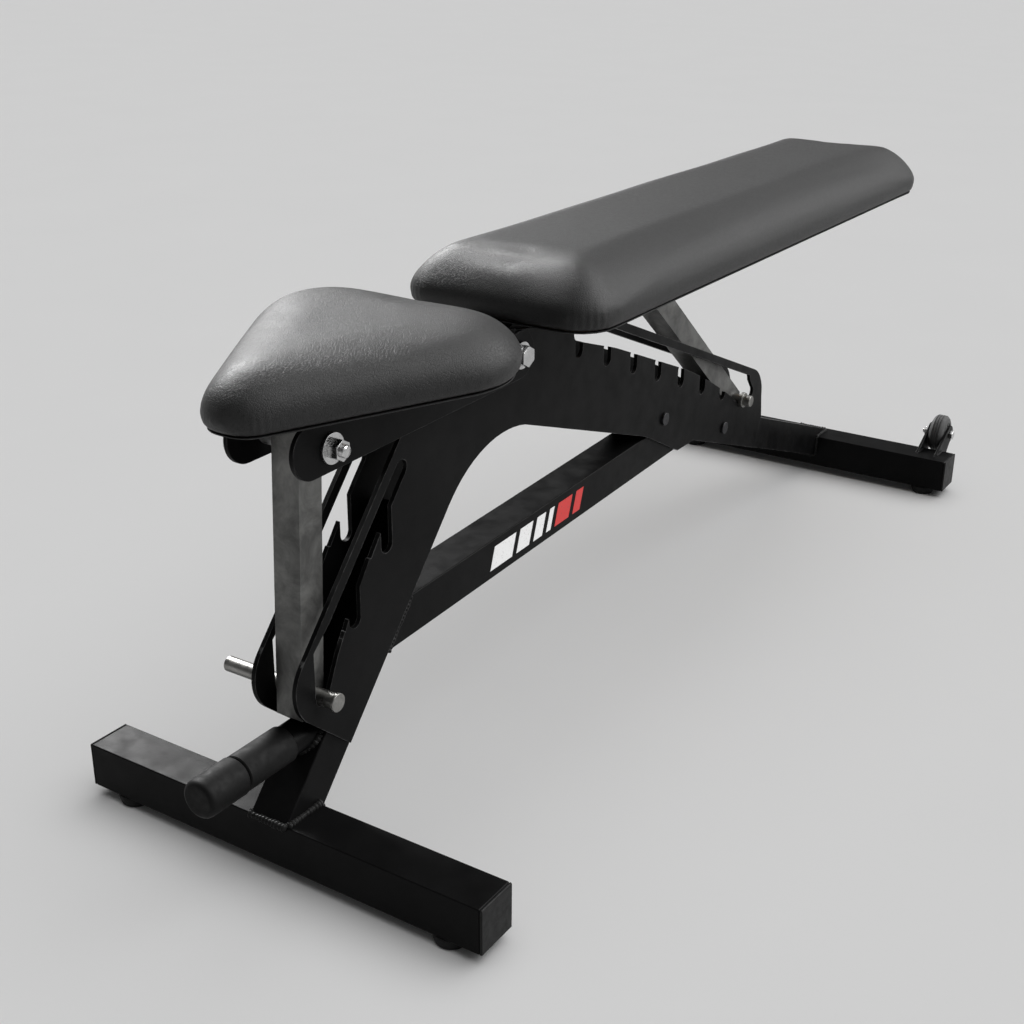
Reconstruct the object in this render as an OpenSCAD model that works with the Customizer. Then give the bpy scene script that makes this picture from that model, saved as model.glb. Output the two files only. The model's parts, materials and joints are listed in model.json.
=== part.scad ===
// Adjustable weight bench: folding seat and back rest on a laser-cut, welded steel frame.
// Millimetres, +Z up. X runs across the bench, Y runs from the seat end to the head end.
// Places along the bench are measured from the front face of the front foot; the finished
// model is then moved so that its origin is at the middle of the floor it stands on.

/* [Feet] */
// Side of the square foot tubes
foot_w = 50; // [40:1:60]
// Wall of the foot tubes
foot_wall = 3; // [2:0.5:4]
// Length of the front foot over its end caps
front_foot_len = 500; // [440:10:600]
// Length of the rear foot over its end caps
rear_foot_len = 484; // [440:10:600]
// Front face of the rear foot
rear_foot_y = 1329; // [1325:1:1340]
// Height of the rubber feet
rubber_h = 12; // [8:1:16]
// Radius of the rubber feet
rubber_r = 18; // [12:1:22]
// Distance of the rubber feet from the middle of the bench
rubber_x = 205; // [180:1:215]
// Distance of the rubber feet in front of the middle of their tube
rubber_shift = 8; // [0:1:10]

/* [Frame] */
// Side of the square leg and spine tubes
beam_w = 46; // [44:1:46]
// Wall of the leg and spine tubes
beam_wall = 3; // [2:0.5:4]
// Thickness of the two side plates
plate_t = 5; // [4:0.5:6]
// Slope of the front leg
leg_angle = 48.7; // [48.5:0.1:49]
// Slope of the spine
spine_angle = 2.2; // [2:0.1:2.4]
// Downward slope of the rear leg
rear_leg_angle = 19.8; // [19.6:0.1:20]

/* [Posts and pins] */
// Side of the square seat and back posts
post_w = 32; // [28:1:32]
// Wall of the posts
post_wall = 2.5; // [2:0.5:3]
// Radius of the two locking pins
pin_r = 8; // [7:0.5:8]
// Pitch of the seat slots along the leg
seat_pitch = 80.4; // [80:0.2:81]
// Pitch of the back notches along the plate
back_pitch = 72.3; // [72:0.1:72.6]
// Number of back notches besides the one the pin rests in
back_notches = 7; // [5:1:7]

/* [Pads] */
// Underside of both pads
pad_z = 472; // [471:1:478]
// Thickness of the seat pad at its crown
seat_t = 62; // [50:1:70]
// Thickness of the back pad at its crown
back_t = 71; // [55:1:80]
// Thickness of the boards under the pads
board_t = 12; // [9:1:15]
// Half width of the back pad
back_half_w = 130; // [120:1:140]
// Front end of the back pad
back_y0 = 384; // [380:1:390]
// Rear end of the back pad
back_y1 = 1405; // [1340:1:1430]

/* [Handle and wheels] */
// Radius of the handle bar
handle_r = 17; // [14:0.5:17.5]
// Radius of the rubber grip
grip_r = 19; // [18.5:0.5:21]
// Free end of the handle, in front of the foot
handle_y = -89; // [-110:1:-80]
// Height of the handle
handle_z = 134; // [130:1:136]
// Radius of the transport wheels
wheel_r = 30; // [25:1:30]
// Width of the transport wheels
wheel_w = 24; // [18:1:26]

/* [Hidden] */

$fn = 64;
wheel_gap = 3;                        // between the rear foot and a wheel
origin_y = (handle_y + rear_foot_y + foot_w + wheel_gap + 2 * wheel_r) / 2;
fit = 0.05;                           // radial clearance of a running fit
far = 400;                            // size of the blocks that trim tube ends
foot_top = rubber_h + foot_w;
plate_in = beam_w / 2;
plate_out = plate_in + plate_t;
cap_t = 3;

// Pivots and pins at rest, as [along, up]
pivot = [383, 442];
seat_hinge = [70, 434];
seat_pin_at = [56, 181];
back_hinge = [742, 429];
back_pin_at = [997, 220];
channel_angle = 22;                   // downward slope of the row of back notches
slot_r = pin_r + 1;

// Widths across the bench
bar_t = 5;
bar_in = 36;
bar_out = bar_in + bar_t;
bar_r = 26.5;                         // rounded ends of the seat bars
bar_nose_y = 45;
bar_nose_z = 437.5;
strap_t = pad_z - (pivot[1] + bar_r + 0.5);
seat_pin_near = 44;
seat_pin_far = -93;
back_pin_x = 44;

function front_at(e, n) = [seat_pin_at[0] + e * cos(leg_angle) - n * sin(leg_angle),
                           seat_pin_at[1] + e * sin(leg_angle) + n * cos(leg_angle)];
function rear_at(u, h) = [back_pin_at[0] - u * cos(channel_angle) + h * sin(channel_angle),
                          back_pin_at[1] + u * sin(channel_angle) + h * cos(channel_angle)];

module on_floor() translate([0, -origin_y, 0]) children();
// An outline drawn as [along, up], from x0 to x0 + t across the bench
module across(x0, t) translate([x0, 0, 0]) rotate([90, 0, 90]) linear_extrude(t) children();
module rod(p, x0, x1, r) translate([x0, p[0], p[1]]) rotate([0, 90, 0]) cylinder(h = x1 - x0, r = r);
module hex(p, x0, x1, r) translate([x0, p[0], p[1]]) rotate([0, 90, 0]) cylinder(h = x1 - x0, r = r, $fn = 6);
// A flat bar with round ends
module bar(p, q, r) {
    d = q - p;
    s = [-d[1], d[0]] * r / norm(d);
    translate(p) circle(r);
    translate(q) circle(r);
    polygon([p + s, p - s, q - s, q + s]);
}
// A square tube that starts at p and runs along the given slope
module tube(p, angle, len, w, h, wall)
    translate([0, p[0], p[1]]) rotate([angle, 0, 0]) difference() {
        translate([-w / 2, 0, -h / 2]) cube([w, len, h]);
        translate([-w / 2 + wall, -1, -h / 2 + wall]) cube([w - 2 * wall, len + 2, h - 2 * wall]);
    }
module foot_tube(y, len) difference() {
    translate([-len / 2 + cap_t, y, rubber_h]) cube([len - 2 * cap_t, foot_w, foot_w]);
    translate([-len / 2, y + foot_wall, rubber_h + foot_wall])
        cube([len, foot_w - 2 * foot_wall, foot_w - 2 * foot_wall]);
}
module foot_caps(y, len) for (side = [0, 1]) mirror([side, 0, 0]) {
    translate([len / 2 - cap_t, y, rubber_h]) cube([cap_t, foot_w, foot_w]);
    translate([len / 2 - 8 * cap_t, y + foot_wall, rubber_h + foot_wall])
        cube([7 * cap_t, foot_w - 2 * foot_wall, foot_w - 2 * foot_wall]);
}

// Feet
module front_foot() color("#1c1c1e") on_floor() foot_tube(0, front_foot_len);
module rear_foot() color("#1c1c1e") on_floor() foot_tube(rear_foot_y, rear_foot_len);
module front_foot_caps() color("#101010") on_floor() foot_caps(0, front_foot_len);
module rear_foot_caps() color("#101010") on_floor() foot_caps(rear_foot_y, rear_foot_len);
module rubber_feet() color("#151515") on_floor()
    for (y = [0, rear_foot_y]) for (x = [-rubber_x, rubber_x])
        translate([x, y + foot_w / 2 - rubber_shift, 0]) {
        cylinder(h = rubber_h - 5, r1 = rubber_r - 2, r2 = rubber_r);
        translate([0, 0, rubber_h - 5]) cylinder(h = 5, r = rubber_r);
    }

// Legs and spine
leg_rear = -82;                       // rear face of the front leg, from the line of the seat slots
leg_front = leg_rear + beam_w;
leg_foot_e = -150;
leg_top_e = 214;
rear_leg_start = 722;
rear_leg_base = [855, 200];           // a point on the underside of the rear leg
spine_base = [248, 182.4];            // a point on the underside of the spine
function rear_leg_mid(y) = [y, rear_leg_base[1] - (y - rear_leg_base[0]) * tan(rear_leg_angle)
                               + beam_w / 2 / cos(rear_leg_angle)];
function spine_mid(y) = [y, spine_base[1] + (y - spine_base[0]) * tan(spine_angle)
                            + beam_w / 2 / cos(spine_angle)];

module front_leg() color("#1a1a1c") on_floor() difference() {
    tube(front_at(leg_foot_e, (leg_rear + leg_front) / 2), leg_angle, leg_top_e - leg_foot_e,
         beam_w, beam_w, beam_wall);
    translate([-far / 2, foot_w - far, foot_top - far]) cube(far);
    translate([-far / 2, 0, -far + rubber_h + foot_w * 0.75]) cube(far);
}
module spine_tube() color("#1a1a1c") on_floor() difference() {
    tube(spine_mid(120), spine_angle, 760, beam_w, beam_w, beam_wall);
    translate([0, front_at(0, leg_rear)[0], front_at(0, leg_rear)[1]]) rotate([leg_angle, 0, 0])
        translate([-far, -far, 0]) cube([2 * far, 3 * far, far]);
    translate([0, rear_leg_base[0], rear_leg_base[1]]) rotate([-rear_leg_angle, 0, 0])
        translate([-far, -far, 0]) cube([2 * far, 2 * far, far]);
}
module rear_leg() color("#1a1a1c") on_floor() difference() {
    tube(rear_leg_mid(rear_leg_start), -rear_leg_angle, 710, beam_w, beam_w, beam_wall);
    translate([-far / 2, rear_foot_y, foot_top - far]) cube(far);
    translate([-far / 2, rear_foot_y + foot_w, -far / 2]) cube(far);
    for (p = plate_bolts) rod(p, -far, far, bolt_r + fit);
}

// Side plates
plate_bolts = [rear_leg_mid(752), rear_leg_mid(941)];
bolt_r = 5;
boss_r = 26;
lobe_r = 43;
lobe = front_at(15.2, 5.4);
strip_out = 5.4 + lobe_r;
strip_in = 37;
rail_out = 48;
rail_in = 37.5;
plate_rear = -76;
arch_corner = [333, 381];             // where the leg edge and the underside of the arm would meet
arch_r = 148;
arch_side = 99;
arch_slope = 19.3;
arch_leg = arch_corner - arch_side * [cos(leg_angle), sin(leg_angle)];
arch_arm = arch_corner + arch_side * [cos(arch_slope), -sin(arch_slope)];
arch_mid = arch_leg + arch_r * [sin(leg_angle), -cos(leg_angle)];
arm_end = arch_corner + [368, -368 * tan(arch_slope)];
tail = rear_at(-26, -2);
tail_r = 50;
plate_end = 1075;
function leg_under(y) = [y, rear_leg_base[1] - (y - rear_leg_base[0]) * tan(rear_leg_angle)];
function spine_under(y) = [y, spine_base[1] + (y - spine_base[0]) * tan(spine_angle)];

module plate_outline() {
    translate(lobe) circle(lobe_r);
    translate(pivot) circle(boss_r);
    translate(tail) circle(tail_r);
    difference() {
        polygon([arch_leg, arch_corner, arch_arm]);
        translate(arch_mid) circle(arch_r, $fn = 128);
    }
    polygon([front_at(15.2, strip_out), front_at(266, strip_out), pivot + [-25, 6], pivot + [12, 23],
             rear_at(425, rail_out), rear_at(-26, rail_out), [plate_end - 5, 208], [plate_end, 174],
             leg_under(plate_end - 16), leg_under(845), spine_under(797), arm_end, arch_arm, arch_corner,
             arch_leg, front_at(15.2 - lobe_r, plate_rear), front_at(15.2 - lobe_r, 5.4)]);
}
// The seat pin's way out of the lowest slot and along the strip
seat_way = [front_at(0, 0), front_at(40, 11.7), front_at(85, 20.6), front_at(140, 26.4), front_at(196, 27.5)];
module seat_window() {
    for (i = [0 : len(seat_way) - 2]) bar(seat_way[i], seat_way[i + 1], slot_r);
    for (i = [1, 2]) let (foot = front_at(i * seat_pitch, 0)) bar(foot, foot + [0, 40], slot_r);
    bar(front_at(196, 27.5), front_at(232, 27.5), slot_r);
    polygon([[46.5, 181], [46.5, 232], front_at(66, strip_in), front_at(234, strip_in), [196, 372],
             [183, 354], front_at(168, 17), front_at(140, 15), [127, 298], front_at(84, 11), front_at(66, 7),
             [70, 228], [66, 181]]);
}
// The back pin's way out of the rear notch and along the rail
back_way = [[0, 0], [40, 10], [80, 16.4], [150, 23.4], [250, 27.6], [350, 27.2], [450, 23.1], [517, 18.6]];
tooth_tops = [[40, 0.5], [83, 6.5], [112, 10], [155, 14], [200, 17], [420, 15.5], [455, 13], [517, 9]];
module back_window() {
    for (i = [0 : len(back_way) - 2])
        bar(rear_at(back_way[i][0], back_way[i][1]), rear_at(back_way[i + 1][0], back_way[i + 1][1]), slot_r);
    for (i = [1 : back_notches]) let (foot = rear_at(i * back_pitch, 0)) bar(foot, foot + [0, 16], slot_r);
    bar([1029, 223], [1012, 243], slot_r);
    polygon(concat([rear_at(0, 0), [1012, 212], [1034, 215], rear_at(-12, rail_in), rear_at(500, rail_in)],
                   [for (i = [len(tooth_tops) - 1 : -1 : 0]) rear_at(tooth_tops[i][0], tooth_tops[i][1])]));
}
module side_plate(x0) color("#161618") on_floor() across(x0, plate_t) difference() {
    plate_outline();
    seat_window();
    back_window();
    translate(pivot) circle(pivot_r + fit);
    for (p = plate_bolts) translate(p) circle(bolt_r + fit);
}
module side_plate_left() side_plate(-plate_out);
module side_plate_right() side_plate(plate_in);

// Bolts that hold the rear leg between the plates
module frame_bolts() color("#2b2b2d") on_floor() for (p = plate_bolts) {
    rod(p, -plate_out - 12, plate_out, bolt_r);
    rod(p, plate_out, plate_out + 3.5, 8.5);
}
module frame_nuts() color("#2b2b2d") on_floor() for (p = plate_bolts) difference() {
    hex(p, -plate_out - 8, -plate_out, 9.2);
    rod(p, -far, far, bolt_r);
}

// Handle on the front leg
cap_y = handle_y + 50;
module handle_round(y0, y1, r) translate([0, y0, handle_z]) rotate([-90, 0, 0]) cylinder(h = y1 - y0, r = r);
module handle_bar() color("#1a1a1c") on_floor() difference() {
    handle_round(handle_y + 8, 100, handle_r);
    handle_round(handle_y, 120, handle_r - 2.5);
    translate([0, front_at(0, leg_front)[0], front_at(0, leg_front)[1]]) rotate([leg_angle, 0, 0])
        translate([-far, -far, -far]) cube([2 * far, 2 * far, far]);
}
module handle_grip() color("#141414") on_floor() difference() {
    handle_round(cap_y + 2, 28, grip_r);
    handle_round(cap_y, 40, handle_r);
}
module handle_end_cap() color("#141414") on_floor() difference() {
    union() {
        handle_round(handle_y, handle_y + 6, grip_r - 1.5);
        handle_round(handle_y + 6, cap_y, grip_r + 0.8);
    }
    handle_round(handle_y + 8, cap_y + 10, handle_r);
}

// Pivot shared by the seat and the back rest
pivot_r = 8;
washer_t = 2.5;
head_x = bar_out + 0.3 + washer_t;
module pivot_bolt() color("#c8c8c8") on_floor() {
    rod(pivot, -head_x - 16, head_x, pivot_r);
    hex(pivot, head_x, head_x + 8, 12);
}
module pivot_nut() color("#c8c8c8") on_floor() difference() {
    hex(pivot, -head_x - 12, -head_x, 12);
    rod(pivot, -far, far, pivot_r);
}
module ring(p, x0, x1, r, bore) difference() {
    rod(p, x0, x1, r);
    rod(p, x0 - 1, x1 + 1, bore);
}
module both_sides() for (side = [0, 1]) mirror([side, 0, 0]) children();
module pivot_washers() color("#c8c8c8") on_floor()
    both_sides() ring(pivot, head_x - washer_t, head_x, 15, pivot_r);
module pivot_spacers() color("#8a8a8a") on_floor()
    both_sides() ring(pivot, plate_out, bar_in - 0.3, 13, pivot_r);

// Seat carriage: two flat bars, two straps, board and pad
hinge_r = 6;
seat_strap_y = [48, 205];
seat_screw_x = [24, 80];
strap_w = 44;
strap_z = pad_z - strap_t;
// The top edge drops towards the pivot, to clear the raised back pad
module seat_bar(x0) color("#161618") on_floor() across(x0, bar_t) difference() {
    union() {
        translate([bar_nose_y, bar_nose_z]) circle(bar_r);
        translate(pivot) circle(bar_r);
        polygon([[bar_nose_y, bar_nose_z - bar_r], pivot - [0, bar_r], pivot + [-24, -7], pivot + [-50, -6],
                 pivot + [-90, 19], pivot + [-104, bar_r], [bar_nose_y, bar_nose_z + bar_r]]);
    }
    translate(pivot) circle(pivot_r + fit);
    translate(seat_hinge) circle(hinge_r + fit);
}
module seat_bar_left() seat_bar(-bar_out);
module seat_bar_right() seat_bar(bar_in);
module strap(y, half) translate([-half, y, strap_z]) cube([2 * half, strap_w, strap_t]);
module seat_straps() color("#161618") on_floor() {
    seat_tilted() difference() {
        union() {
            strap(seat_strap_y[0], 50);
            strap(seat_strap_y[1], 92);
        }
        screw_row(seat_screw_x, seat_strap_y, 0);
    }
    both_sides() across(bar_in, bar_t) polygon([
        [seat_strap_y[1], bar_top(seat_strap_y[1])],
        [seat_strap_y[1] + strap_w, bar_top(seat_strap_y[1] + strap_w)],
        [seat_strap_y[1] + strap_w, tilted_z(seat_strap_y[1] + strap_w) - strap_t / 2],
        [seat_strap_y[1], tilted_z(seat_strap_y[1]) - strap_t / 2]]);
}
function tilted_z(y) = pad_z + (y - seat_tilt_y) * tan(seat_tilt);
function bar_top(y) = bar_nose_z + bar_r
    + (y - bar_nose_y) * (pivot[1] - bar_nose_z) / (pivot[0] - 104 - bar_nose_y);
// Screws up through the ends of the straps into the board
screw_r = 4;
module screw_row(xs, ys, grow) for (i = [0 : len(ys) - 1]) for (side = [-1, 1])
    translate([side * xs[min(i, len(xs) - 1)], ys[i] + strap_w / 2, strap_z - 1])
        cylinder(h = strap_t + 9, r = screw_r + grow);
module screws(xs, ys) {
    screw_row(xs, ys, 0);
    for (i = [0 : len(ys) - 1]) for (side = [-1, 1])
        translate([side * xs[min(i, len(xs) - 1)], ys[i] + strap_w / 2, strap_z - 5])
            cylinder(h = 5, r = 7.5, $fn = 6);
}
// Corner discs of the seat pad: [x, y, radius]
seat_corners = [[5, 9, 38], [68, 202, 77]];
seat_tilt = 2.6;                      // the seat drops towards its nose
seat_tilt_y = 150;
module seat_tilted() translate([0, seat_tilt_y, pad_z]) rotate([seat_tilt, 0, 0])
    translate([0, -seat_tilt_y, -pad_z]) children();
module pad_corners(corners, inset, t) for (c = corners) both_sides()
    translate([c[0], c[1], 0]) cylinder(h = t, r = c[2] - inset, $fn = 48);
module seat_layer(z, t, inset) translate([0, 0, z]) pad_corners(seat_corners, inset, t);
module seat_board() color("#6b5a45") on_floor() seat_tilted() difference() {
    hull() seat_layer(pad_z, board_t, 12);
    screw_row(seat_screw_x, seat_strap_y, 0);
}
module seat_pad() color("#45464a") on_floor() seat_tilted() difference() {
    hull() {
        seat_layer(pad_z, 1, 4);
        seat_layer(pad_z + seat_t * 0.2, 4, 0);
        seat_layer(pad_z + seat_t * 0.6, 1, 9);
        seat_layer(pad_z + seat_t * 0.8, 1, 24);
        seat_layer(pad_z + seat_t - 1, 1, 37);
    }
    hull() seat_layer(pad_z - 1, board_t + 1, 12);
}
module seat_screws() color("#8f8f8f") on_floor() seat_tilted() screws(seat_screw_x, seat_strap_y);

// Seat post, hung from the seat bars and locked by its pin in the side plates
seat_post_dir = seat_pin_at - seat_hinge;
seat_post_angle = atan2(seat_post_dir[1], seat_post_dir[0]);
seat_post_top = 20;
seat_post_end = 24;
function beyond(p, angle, d) = p + d * [cos(angle), sin(angle)];
module seat_post() color("#8f8f8c") on_floor() difference() {
    tube(beyond(seat_hinge, seat_post_angle, -seat_post_top), seat_post_angle,
         norm(seat_post_dir) + seat_post_top + seat_post_end, post_w, post_w, post_wall);
    rod(seat_hinge, -far, far, hinge_r + fit);
    rod(seat_pin_at, -far, far, pin_r);
}
module seat_post_bolt() color("#d0d0d0") on_floor() {
    rod(seat_hinge, -bar_out - 3, bar_out + 18, hinge_r);
    hex(seat_hinge, -bar_out - 11, -bar_out - 3, 10.5);
}
module seat_post_nut() color("#d0d0d0") on_floor() difference() {
    hex(seat_hinge, bar_out + 3, bar_out + 14, 10.5);
    rod(seat_hinge, -far, far, hinge_r);
}
module seat_post_washers() color("#d0d0d0") on_floor()
    both_sides() ring(seat_hinge, bar_out, bar_out + 3, 15, hinge_r);
module seat_post_spacers() color("#8a8a8a") on_floor()
    both_sides() ring(seat_hinge, post_w / 2 + 0.3, bar_in, 11, hinge_r);
module seat_pin() color("#c4c4c2") on_floor() {
    rod(seat_pin_at, seat_pin_far, seat_pin_near, pin_r);
    rod(seat_pin_at, seat_pin_near, seat_pin_near + 4, pin_r + 1.5);
}
module post_cap(p, angle, w) translate([0, p[0], p[1]]) rotate([angle, 0, 0])
    translate([-w / 2 + post_wall, -10, -w / 2 + post_wall]) cube([w - 2 * post_wall, 10, w - 2 * post_wall]);
module seat_post_cap() color("#101010") on_floor()
    post_cap(beyond(seat_pin_at, seat_post_angle, seat_post_end), seat_post_angle, post_w);

// Back rest carriage
back_tube = [40, 20];
back_tube_z = strap_z - back_tube[1] / 2;
back_tube_y0 = 400;
back_tube_y1 = 1270;
back_strap_y = [470, 820, 1180];
ear_t = 4;
ear_in = post_w / 2 + 0.5;
module back_frame() color("#161618") on_floor() difference() {
    union() {
        tube([back_tube_y0, back_tube_z], 0, back_tube_y1 - back_tube_y0, back_tube[0], back_tube[1], 2);
        for (y = back_strap_y) strap(y, 92);
        for (x = [-back_tube[0] / 2, back_tube[0] / 2 - ear_t]) across(x, ear_t)
            polygon([pivot + [-10, 15], pivot + [-16, -8], pivot + [6, -17],
                     [470, back_tube_z], [back_tube_y0, strap_z]]);
        rod(pivot, -plate_in + 0.6, plate_in - 0.6, 18);
    }
    rod(pivot, -far, far, pivot_r + fit);
    screw_row([80], back_strap_y, 0);
}
module back_ears() color("#161618") on_floor() both_sides() across(ear_in, ear_t) difference() {
    union() {
        translate(back_hinge) circle(15);
        polygon([back_hinge + [-15, 0], back_hinge + [15, 0], [back_hinge[0] + 42, strap_z - back_tube[1]],
                 [back_hinge[0] - 42, strap_z - back_tube[1]]]);
    }
    translate(back_hinge) circle(bolt_r + fit);
}
back_corner_r = 48;
back_corners = [for (y = [back_y0 + back_corner_r, back_y1 - back_corner_r])
    [back_half_w - back_corner_r, y, back_corner_r]];
module back_layer(z, t, inset) translate([0, 0, z]) pad_corners(back_corners, inset, t);
module back_board() color("#6b5a45") on_floor() difference() {
    hull() back_layer(pad_z, board_t, 12);
    screw_row([80], back_strap_y, 0);
}
module back_pad() color("#45464a") on_floor() difference() {
    hull() {
        back_layer(pad_z, 1, 4);
        back_layer(pad_z + back_t * 0.25, 6, 0);
        back_layer(pad_z + back_t * 0.7, 1, 22);
        back_layer(pad_z + back_t - 1, 1, 47);
    }
    hull() back_layer(pad_z - 1, board_t + 1, 12);
}
module back_screws() color("#8f8f8f") on_floor() screws([80], back_strap_y);
module back_frame_cap() color("#101010") on_floor() translate([0, back_tube_y1, back_tube_z]) {
    translate([-back_tube[0] / 2, 0, -back_tube[1] / 2]) cube([back_tube[0], cap_t, back_tube[1]]);
    translate([-back_tube[0] / 2 + 2, -12, -back_tube[1] / 2 + 2])
        cube([back_tube[0] - 4, 12, back_tube[1] - 4]);
}

// Back post, hung from the ears and locked by its pin in the notches
back_post_dir = back_pin_at - back_hinge;
back_post_angle = atan2(back_post_dir[1], back_post_dir[0]);
back_post_top = 10;
back_post_end = 14;
module back_post() color("#7d7d7b") on_floor() difference() {
    tube(beyond(back_hinge, back_post_angle, -back_post_top), back_post_angle,
         norm(back_post_dir) + back_post_top + back_post_end, post_w, post_w, post_wall);
    rod(back_hinge, -far, far, bolt_r + fit);
    rod(back_pin_at, -far, far, pin_r);
}
module back_post_bolt() color("#2b2b2d") on_floor() {
    rod(back_hinge, -ear_in - ear_t - 10, ear_in + ear_t, bolt_r);
    hex(back_hinge, ear_in + ear_t, ear_in + ear_t + 6.4, 9.2);
}
module back_post_nut() color("#2b2b2d") on_floor() difference() {
    hex(back_hinge, -ear_in - ear_t - 8, -ear_in - ear_t, 9.2);
    rod(back_hinge, -far, far, bolt_r);
}
module back_pin() color("#c4c4c2") on_floor() rod(back_pin_at, -back_pin_x, back_pin_x, pin_r);
module back_pin_collars() color("#c4c4c2") on_floor()
    both_sides() ring(back_pin_at, plate_out + 0.5, plate_out + 5.5, pin_r + 3, pin_r);

// Transport wheels behind the ends of the rear foot
wheel_x = 203;
axle = [rear_foot_y + foot_w + wheel_gap + wheel_r, 80];
axle_r = 4;
fork_t = 4;
fork_in = wheel_w / 2 + 1;
module wheel_bracket() color("#161618") on_floor() difference() {
    for (x = [wheel_x - fork_in - fork_t, wheel_x + fork_in]) across(x, fork_t) {
        translate(axle) circle(15);
        polygon([[rear_foot_y + 18, foot_top], [rear_foot_y + foot_w, foot_top],
                 [rear_foot_y + foot_w, rubber_h + 12],
                 axle + [4, -14.4], axle + [-4, 14.4]]);
    }
    rod(axle, wheel_x - far, wheel_x + far, axle_r + fit);
}
module wheel_bracket_right() wheel_bracket();
module wheel_bracket_left() mirror([1, 0, 0]) wheel_bracket();
module wheel() color("#3a3a3a") on_floor() translate([wheel_x, axle[0], axle[1]])
    rotate([0, 90, 0]) difference() {
    rotate_extrude() polygon([[0, -wheel_w / 2], [wheel_r - 4, -wheel_w / 2], [wheel_r, -wheel_w / 2 + 5],
                              [wheel_r, wheel_w / 2 - 5], [wheel_r - 4, wheel_w / 2], [0, wheel_w / 2]]);
    cylinder(h = 2 * wheel_w, r = axle_r + fit, center = true);
}
module wheel_right() wheel();
module wheel_left() mirror([1, 0, 0]) wheel();
module wheel_bolt() color("#b8b8b8") on_floor() {
    rod(axle, wheel_x - fork_in - fork_t - 10, wheel_x + fork_in + fork_t, axle_r);
    hex(axle, wheel_x + fork_in + fork_t, wheel_x + fork_in + fork_t + 5.3, 7.5);
}
module wheel_bolt_right() wheel_bolt();
module wheel_bolt_left() mirror([1, 0, 0]) wheel_bolt();
module wheel_nut() color("#b8b8b8") on_floor() difference() {
    hex(axle, wheel_x - fork_in - fork_t - 6.5, wheel_x - fork_in - fork_t, 7.5);
    rod(axle, 0, far, axle_r);
}
module wheel_nut_right() wheel_nut();
module wheel_nut_left() mirror([1, 0, 0]) wheel_nut();

front_foot();
rear_foot();
front_foot_caps();
rear_foot_caps();
rubber_feet();
front_leg();
spine_tube();
rear_leg();
side_plate_left();
side_plate_right();
frame_bolts();
frame_nuts();
handle_bar();
handle_grip();
handle_end_cap();
pivot_bolt();
pivot_nut();
pivot_washers();
pivot_spacers();
seat_bar_left();
seat_bar_right();
seat_straps();
seat_board();
seat_pad();
seat_screws();
seat_post();
seat_post_bolt();
seat_post_nut();
seat_post_washers();
seat_post_spacers();
seat_pin();
seat_post_cap();
back_frame();
back_ears();
back_board();
back_pad();
back_screws();
back_post();
back_post_bolt();
back_post_nut();
back_pin();
back_pin_collars();
back_frame_cap();
wheel_bracket_left();
wheel_bracket_right();
wheel_left();
wheel_right();
wheel_bolt_left();
wheel_bolt_right();
wheel_nut_left();
wheel_nut_right();
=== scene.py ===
"""Adjustable weight bench: looks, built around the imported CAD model. Metres, +Z up."""

import json
import math

import bmesh
import bpy
from mathutils import Matrix, Vector, noise

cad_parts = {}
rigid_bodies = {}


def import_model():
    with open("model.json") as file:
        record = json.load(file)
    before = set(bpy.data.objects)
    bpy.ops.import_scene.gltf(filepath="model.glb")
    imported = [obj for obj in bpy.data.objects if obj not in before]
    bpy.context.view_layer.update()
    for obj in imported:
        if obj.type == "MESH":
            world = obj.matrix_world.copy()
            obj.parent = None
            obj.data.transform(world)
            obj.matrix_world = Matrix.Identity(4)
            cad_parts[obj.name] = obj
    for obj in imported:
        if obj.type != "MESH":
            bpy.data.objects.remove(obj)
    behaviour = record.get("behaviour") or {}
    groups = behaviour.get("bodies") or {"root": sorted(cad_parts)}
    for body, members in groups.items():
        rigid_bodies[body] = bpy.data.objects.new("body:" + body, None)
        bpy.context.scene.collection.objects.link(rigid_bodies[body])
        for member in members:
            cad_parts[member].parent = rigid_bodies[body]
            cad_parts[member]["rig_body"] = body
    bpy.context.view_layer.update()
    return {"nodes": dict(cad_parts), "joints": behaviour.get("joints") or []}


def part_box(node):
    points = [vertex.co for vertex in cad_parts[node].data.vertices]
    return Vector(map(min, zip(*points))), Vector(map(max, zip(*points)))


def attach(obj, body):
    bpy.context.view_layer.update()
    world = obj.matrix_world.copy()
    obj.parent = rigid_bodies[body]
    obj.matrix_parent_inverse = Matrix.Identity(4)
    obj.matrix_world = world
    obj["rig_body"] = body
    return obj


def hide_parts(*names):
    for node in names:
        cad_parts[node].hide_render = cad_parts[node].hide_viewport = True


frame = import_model()
NODES = frame["nodes"]
JOINTS = {j["name"]: j for j in frame["joints"]}
FOOT_LOW, FOOT_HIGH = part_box("front_foot")
MM = 0.001
TAU = 2 * math.pi
BOX_FACES = ((0, 1, 2, 3), (4, 5, 6, 7), (0, 1, 5, 4), (1, 2, 6, 5), (2, 3, 7, 6), (3, 0, 4, 7))


def at(x, y, z):
    """The place that is x, y, z millimetres from the middle of the front foot's front face, on the floor."""
    return Vector((x * MM, y * MM + FOOT_LOW.y, z * MM))


# ---------------------------------------------------------------- camera

CAMERA_AT = at(838.17, -864.20, 887.87)
CAMERA_TURN = 0.574283
CAMERA_DOWN = 0.400168
CAMERA_ROLL = 0.0065987
CAMERA_LENS = 51.087
SENSOR = 36.0


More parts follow.
